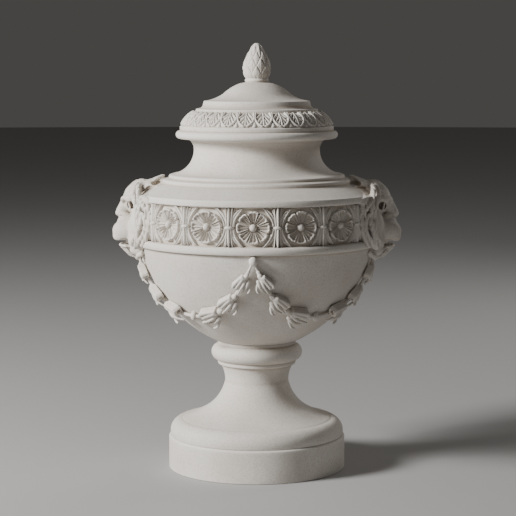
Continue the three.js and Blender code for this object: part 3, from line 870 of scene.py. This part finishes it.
def shade_painted_into(obj, places):
    """Paints shade into drilled places, each a centre and a size: it lowers the relief there so that the
    finish colours them dark tan as if in shadow.
    """
    mesh = obj.data
    place = np.abs(values_of(mesh.vertices, "co", 3)) / MM
    relief = values_of(mesh.attributes["relief"].data, "value")
    for centre, size in places:
        gap = np.linalg.norm((place - centre) / size, axis=1)
        relief = relief - 0.95 * np.clip((1.25 - gap) / 0.3, 0, 1)
    set_relief(mesh, relief)
    return obj


def skull(block):
    """The bed of the mane, the skull, cheeks and jaw."""
    block.lump((0, 134.5, 352), (86, 34, 58), 6)
    block.lump((0, 160, 381), (35, 26.5, 26.5), 6)
    block.lump((25, 158, 344), (22, 21, 30), 5)
    block.lump((0, 147, 397), (36, 13, 12), 4)
    block.strand([(10, 152, 400), (8, 134, 408.5)], [8, 4.6], 3)
    block.lump((24, 163, 324), (16, 17, 14), 6)
    block.lump((0, 170, 313.5), (20, 23.5, 6), 3)
    block.lump((0, 165, 307), (17, 20, 8.5), 3)
    block.lump((26, 158, 311), (13, 20, 9), 5)


def muzzle(block):
    """Nose, muzzle and brow."""
    block.strand([(0, 179.5, 385), (0, 190.2, 364)], [8.6, 8.8], 5)
    block.lump((0, 190.8, 361.3), (9.6, 9.4, 5.6), 2)
    block.lump((8.2, 187.5, 358.5), (4.4, 6.8, 4.6), 1.5)
    block.lump((5.5, 183, 349), (11, 14, 12), 3)
    block.lump((11.5, 180, 337.5), (17.5, 23.2, 17), 3)
    block.lump((10, 186.5, 329.5), (14, 16.5, 9.5), 3)
    block.lump((19, 173, 384), (15, 12, 7), 4)
    block.strand(curve_through([(8, 188.5, 378.5), (15, 187.5, 383), (24, 182, 384), (31, 174, 378.5)], 3),
                 [2.6] * 10, 2)


def eye(block):
    """A deep round socket drilled from the side, with a narrow upright ball in it."""
    block.strand([(46, 176.6, 374.6), (12, 176.0, 373.6)], [6.1, 5.6], 0.6, cut=True)
    block.strand([(18.0, 179.6, 379.5), (19.0, 177.0, 368.0)], [1.5, 1.5], 0.4, flat=(0.5, 1, 1))


def mouth(block):
    """Nostril, lips and the open mouth."""
    block.lump((5.6, 198, 356.6), (2.8, 4.0, 2.0), 0.8, cut=True)
    block.strand([(7, 196, 356.8), (11, 190, 358.6)], [1.4, 0.9], 0.8, cut=True)
    block.strand([(0, 206.6, 355), (0, 207, 322)], [1.8, 2.3], 1, cut=True)
    slices, (x, y, z) = block.window((0, 178, 312), (88, 207, 330))
    slit = np.maximum(np.abs(z - 320.4 - 0.05 * x) - 1.6 - 0.06 * x, 182 + 0.010 * x ** 2 - y)
    block.join(slices, np.maximum(slit, x - 26), 0.8, cut=True)
    block.lump((22.5, 185, 323), (6, 7, 4.6), 1, cut=True)
    lip = [(0, 193.2, 316.6), (9, 192.3, 316.6), (17, 189, 316.2), (24, 183, 316.2)]
    block.strand(curve_through(lip, 3), [1.9] * 10, 1)


def crown(block):
    """Hair combed back over the head."""
    for i in range(6):
        turn = math.radians(7 + 13 * i)
        path = []
        for ahead in (12, 32, 54, 78, 104):
            angle = math.radians(ahead)
            swing = turn + 0.07 * math.sin(3.4 * angle)
            path.append((36 * math.sin(angle) * math.sin(swing), 160 + 26.8 * math.cos(angle),
                         381 + 26.6 * math.sin(angle) * math.cos(swing)))
        lock(block, path, 3.3, 0.9, i)


def tuft(block):
    """The deep pockets under the tuft, the sheet over the shoulder and the tuft that leans on the neck."""
    for centre, size in POCKETS:
        block.lump(centre, size, 1, cut=True)
    slices, (x, y, z) = block.window((0, 125, 380), (88, 172, 412))
    ground = np.sqrt(np.maximum(wall_reach(z) ** 2 - x ** 2, 1)) + 3.4
    edge = np.maximum(0.18 * (x - 79) + 0.95 * (z - 391), 380 - z)
    block.join(slices, np.maximum(0.5 * (y - ground), edge), 0.8)
    lock(block, [
        (3, 172, 399), (4, 163, 404.2), (4, 152.6, 406.2), (3.5, 141.7, 410.4), (3, 134, 413.2),
        (2, 129.5, 415.4),
    ], 4.3)
    lock(block, [
        (11, 168, 399), (13.5, 158, 402.6), (14, 148, 406), (11, 138, 410.4), (6, 131, 413.6),
    ], 3.8)


def mane_and_beard(block):
    for wide, phase, points in MANE:
        lock(block, points, wide, 1.8, phase, (0,), 1.12, 1.2)
    for i in range(5):
        x = 2.4 + 4.3 * i
        back = 0.02 * x * x
        points = [(x, 191.2, 313), (x + 0.4, 186.2, 307), (x + 0.6, 179.6, 301.4), (x + 0.4, 174, 298.6)]
        lock(block, [(across, out - back, up) for across, out, up in points], 2.1, 0.3, i)


def groove(along):
    """1 in the middle of each of the grooves that lie COMB apart, falling to 0 beside it."""
    near = np.abs((along / COMB) % 1 - 0.5) * COMB
    return np.exp(-(near / 0.95) ** 2)


def combed(block):
    """Fine grooves combed down the mane and the beard."""
    slices, (x, y, z) = block.window((44, 130, 306), (88, 178, 404))
    along = 0.8 * x - 0.58 * y + 2.3 * np.sin((z - 310) / 6.3) + 0.05 * z
    block.field[slices] += 1.5 * groove(along) * np.clip((x - 46) / 5, 0, 1)
    slices, (x, y, z) = block.window((0, 160, 296), (30, 200, 316))
    along = x + 0.8 * np.sin(z / 2.6)
    block.field[slices] += 1.6 * groove(along) * np.clip((315 - z) / 3, 0, 1) + 0 * y


def mask_unit():
    """A lion's face and mane carved as one block; one half is worked and mirrored to the other side."""
    block = Block(MASK_LOW, MASK_HIGH, 1.08)
    for carve in (skull, muzzle, eye, mouth, crown, tuft, mane_and_beard, combed):
        carve(block)
    # nothing stays deep in the wall
    across, out, height = np.meshgrid(*block.axes, indexing="ij", sparse=True)
    wall = np.sqrt(np.maximum(wall_reach(height) ** 2 - across ** 2, 1))
    block.field = np.maximum(block.field, 0.9 * (wall - 6 - out))
    block.field = np.concatenate([block.field[:0:-1], block.field], 0)
    block.low = np.array([-block.axes[0][-1], *MASK_LOW[1:]])
    # the eye socket and the pockets get painted shade through a lowered relief
    return shade_painted_into(carve_depth(block.skin("mask_unit"), 10, 0.9), (SOCKET,) + POCKETS)


def masks():
    unit = mask_unit()
    for name, side in (("lion_mask_right", 1), ("lion_mask_left", -1)):
        place = np.array([[0.0, side, 0.0], [-side, 0.0, 0.0], [0.0, 0.0, 1.0]])
        dressed(moved(unit, name, [place]), "body")
    removed(unit)


# Lid, leaf band and bud: the band's face is 22.3 long from foot to top, and 98 is its middle radius

LEAVES = 26
BAND_MIDDLE = 98
BAND_LENGTH = 22.3
BAND_FOOT = (104.9, 485.4)
BAND_TOP = (88.6, 503.4)
BAND_RISE = 2.3


def lid():
    stone = turned("lid_stone", [
        (0, 526), (30, 520), (58, 500, -3), (58, 454.6), (68, 454.6), (70.5, 457.1), (70.5, 466.6),
        (98, 466.6), (107.6, 466.6), (107.6, 478, 6.2), (108, 478.5), (108, 483.8), (106.8, 484.4),
        BAND_FOOT, (*BAND_TOP, BAND_RISE), (86, 504), (85.4, 508), (82.5, 508.8), (75.4, 515.2, -2),
        (74.2, 519.2), (72.2, 519.5), (47.2, 529.2, -1.6), (23.6, 543.7, 1.5), (16, 545), (16.2, 546),
        (16.2, 549.5, 0.6), (15.2, 550.6), (0, 550.6),
    ])
    dressed(stone, "lid")


def on_band(points):
    """Bends flat leaf points (x along the band, y up its face from 0 to 1, z outwards) on to the lid."""
    line = np.array([BAND_FOOT] + [tuple(p) for p in arc(BAND_FOOT, BAND_TOP, BAND_RISE)])
    run = np.concatenate([[0], np.cumsum(np.linalg.norm(np.diff(line, axis=0), axis=1))])
    run /= run[-1]
    way = length_one(np.gradient(line, axis=0))
    x, y, z = np.array(points, float).T
    radius, height, outwards_by, rise_by = (np.interp(y, run, held) for held in (*line.T, *way.T))
    reach = radius + rise_by * z
    turn = x / BAND_MIDDLE
    return np.stack([reach * np.sin(turn), -reach * np.cos(turn), height - outwards_by * z], 1)


def leaf():
    """One leaf: a bold rim like a U, a midrib with slanting veins, and a dart beside its foot."""
    half = math.pi * BAND_MIDDLE / LEAVES
    parts = []

    def strip(line, wide, high):
        flat = ribbon([(x, y * BAND_LENGTH) for x, y in line], wide, high, sink=1.0, steps=4)
        parts.append(([(x, y / BAND_LENGTH, z) for x, y, z in flat[0]], flat[1]))

    rim = curve_through([(-9.8, 1.02), (-11.0, 0.72), (-10.4, 0.42), (-6.1, 0.16), (-1.2, 0.03)], 4)
    for way in (-1, 1):
        strip([(-way * x, y) for x, y in rim], [1.5] * len(rim), [2.9] * len(rim))
        for k in range(3):
            top = 1.0 - 0.27 * k
            vein = [(1.2 + (8.5 - 1.8 * k) * s, top - 0.44 * s ** 0.9) for s in np.linspace(0, 1, 5)]
            strip([(way * x, max(y, 0.06)) for x, y in vein], [1.0, 1.25, 1.25, 1.0, 0.5], [2.0] * 5)
        dart = [(way * half * 0.985, y) for y in np.linspace(0.0, 0.34, 5)]
        strip(dart, [2.5, 2.1, 1.5, 0.9, 0.3], [2.2, 2.2, 1.9, 1.4, 0.6])
    strip([(0, y) for y in np.linspace(0.04, 1.0, 9)], np.linspace(1.0, 1.7, 9), [2.4] * 9)
    return carve_depth(gathered("leaf_unit", parts, on_band), 5, 0.6)


def leaf_band():
    unit = leaf()
    empty = piece_mesh("band_places", [(0, 0, 0)], [])
    band = RING.grow("lid_leaves", empty, {
        "Ornament": unit, "Places": LEAVES, "Offset": 0.5, "Free Sine": 2.0, "Finish": STONE,
    })
    removed(unit, empty)
    dressed(band, "lid")


def scale_lift(radius, height, turns, around=9, tiers=4, first_tip=569.2, tier=10.8):
    """How far the bud's pointed scales stand out at a height; a lower tier lies over the one above it."""
    step = 2 * np.pi / around
    lift = np.zeros(len(turns))
    done = np.zeros(len(turns), bool)
    for k in range(tiers):
        tip = first_tip + tier * k - (0.8 if k == tiers - 1 else 0)
        if height >= tip:
            continue
        off = (turns / step + 0.5 * (k % 2 == 0)) % 1 - 0.5
        half = 0.5 * min(1, (tip - height) / 11) ** 0.85
        inside = ~done & (np.abs(off) < half)
        share = np.clip(1 - (tip - height) / 17, 0, 1)
        edge = (half - np.abs(off)) * step * radius
        rib = np.abs(off) * step * radius
        rise = (0.65 + 1.0 * share) * (1 - np.exp(-(edge / 1.2) ** 2))
        rise = rise + 0.3 * np.exp(-(rib / 0.7) ** 2) * np.clip(edge / 2, 0, 1)
        lift = np.where(inside, rise, lift)
        done |= inside
    foot_groove = np.clip((557 - height) / 5, 0, 1)
    side = np.abs((turns / step) % 1 - 0.5) * 2
    return lift - 0.9 * foot_groove * np.exp(-((1 - side) / 0.16) ** 2)


def bud(spokes=198):
    """Closed bud of overlapping pointed scales, each with a midrib."""
    line = profile([
        (14.2, 549.5), (15.2, 551), (17.7, 561, 1.2), (16.9, 574, 1.1), (8.0, 591.5, 0.4),
        (4.9, 597.6, 0.3), (0, 599.6, 0.8),
    ], 0.45)
    turns = 2 * np.pi * np.arange(spokes) / spokes
    points = []
    for radius, height in line[:-1]:
        lift = scale_lift(radius, height, turns)
        reach = np.maximum(radius + lift * min(1, radius / 7), 0.2)
        points += list(zip(reach * np.sin(turns), -reach * np.cos(turns), np.full(spokes, height)))
    rows = len(line) - 1
    faces = tube_faces(rows, spokes)
    points += [(0, 0, line[-1][1]), (0, 0, line[0][1])]
    for i in range(spokes):
        faces.append([(rows - 1) * spokes + i, (rows - 1) * spokes + (i + 1) % spokes, rows * spokes])
        faces.append([(i + 1) % spokes, i, rows * spokes + 1])
    made = outwards(piece_mesh("bud_finial", points, faces))
    dressed(carve_depth(made, 14, 0.45), "lid")


# Stage, light and camera, in metres

# Lamps: place, size, power and colour, all aimed at the middle of the bowl
BOWL_MIDDLE = Vector((0, 0, 0.33))
LAMPS = {
    "key_light": ((-2.5, -1.25, 1.6), 0.8, 192, (1.0, 0.99, 0.975)),
    "fill_light": ((2.2, -1.9, 0.9), 1.6, 2.3, (1.0, 0.95, 0.9)),
    "rim_light": ((1.6, 1.7, 1.3), 0.7, 11, (1.0, 0.97, 0.93)),
}

# The photograph's view: distance and height of the camera, its turn to the right and its dip in degrees
VIEW_DISTANCE = 2.5
VIEW_HEIGHT = 0.569154
VIEW_TURN = 1.65
VIEW_DIP = 6.20245


def stage():
    bpy.ops.mesh.primitive_circle_add(vertices=96, radius=14, fill_type="NGON", location=(0, 0, -0.0004))
    floor = bpy.context.object
    floor.name = "studio_floor"
    floor.data.materials.append(plain_finish("pale_floor", (0.4, 0.395, 0.39, 1), 0.8))
    world = bpy.data.worlds.new("studio")
    bpy.context.scene.world = world
    world.use_nodes = True
    background = world.node_tree.nodes["Background"]
    background.inputs["Color"].default_value = (0.98, 0.94, 0.89, 1)
    background.inputs["Strength"].default_value = 0.07
    for name, (place, size, power, colour) in LAMPS.items():
        light = bpy.data.lights.new(name, "AREA")
        light.size = size
        light.energy = power
        light.color = colour
        lamp = linked(bpy.data.objects.new(name, light))
        lamp.location = place
        aim = BOWL_MIDDLE - Vector(place)
        lamp.rotation_euler = aim.to_track_quat("-Z", "Y").to_euler()


def camera():
    lens = bpy.data.cameras.new("photo_view")
    lens.lens = 123.9
    lens.sensor_width = 36
    lens.shift_x = 0.0023
    lens.clip_start, lens.clip_end = 0.05, 100
    eye_point = linked(bpy.data.objects.new("photo_view", lens))
    turn = math.radians(VIEW_TURN)
    eye_point.location = (VIEW_DISTANCE * math.sin(turn), -VIEW_DISTANCE * math.cos(turn), VIEW_HEIGHT)
    eye_point.rotation_euler = (math.radians(90 - VIEW_DIP), 0, turn)
    bpy.context.scene.camera = eye_point


camera()
stage()
plinth()
foot()
body()
frieze()
garlands()
masks()
lid()
leaf_band()
bud()
bpy.context.view_layer.update()
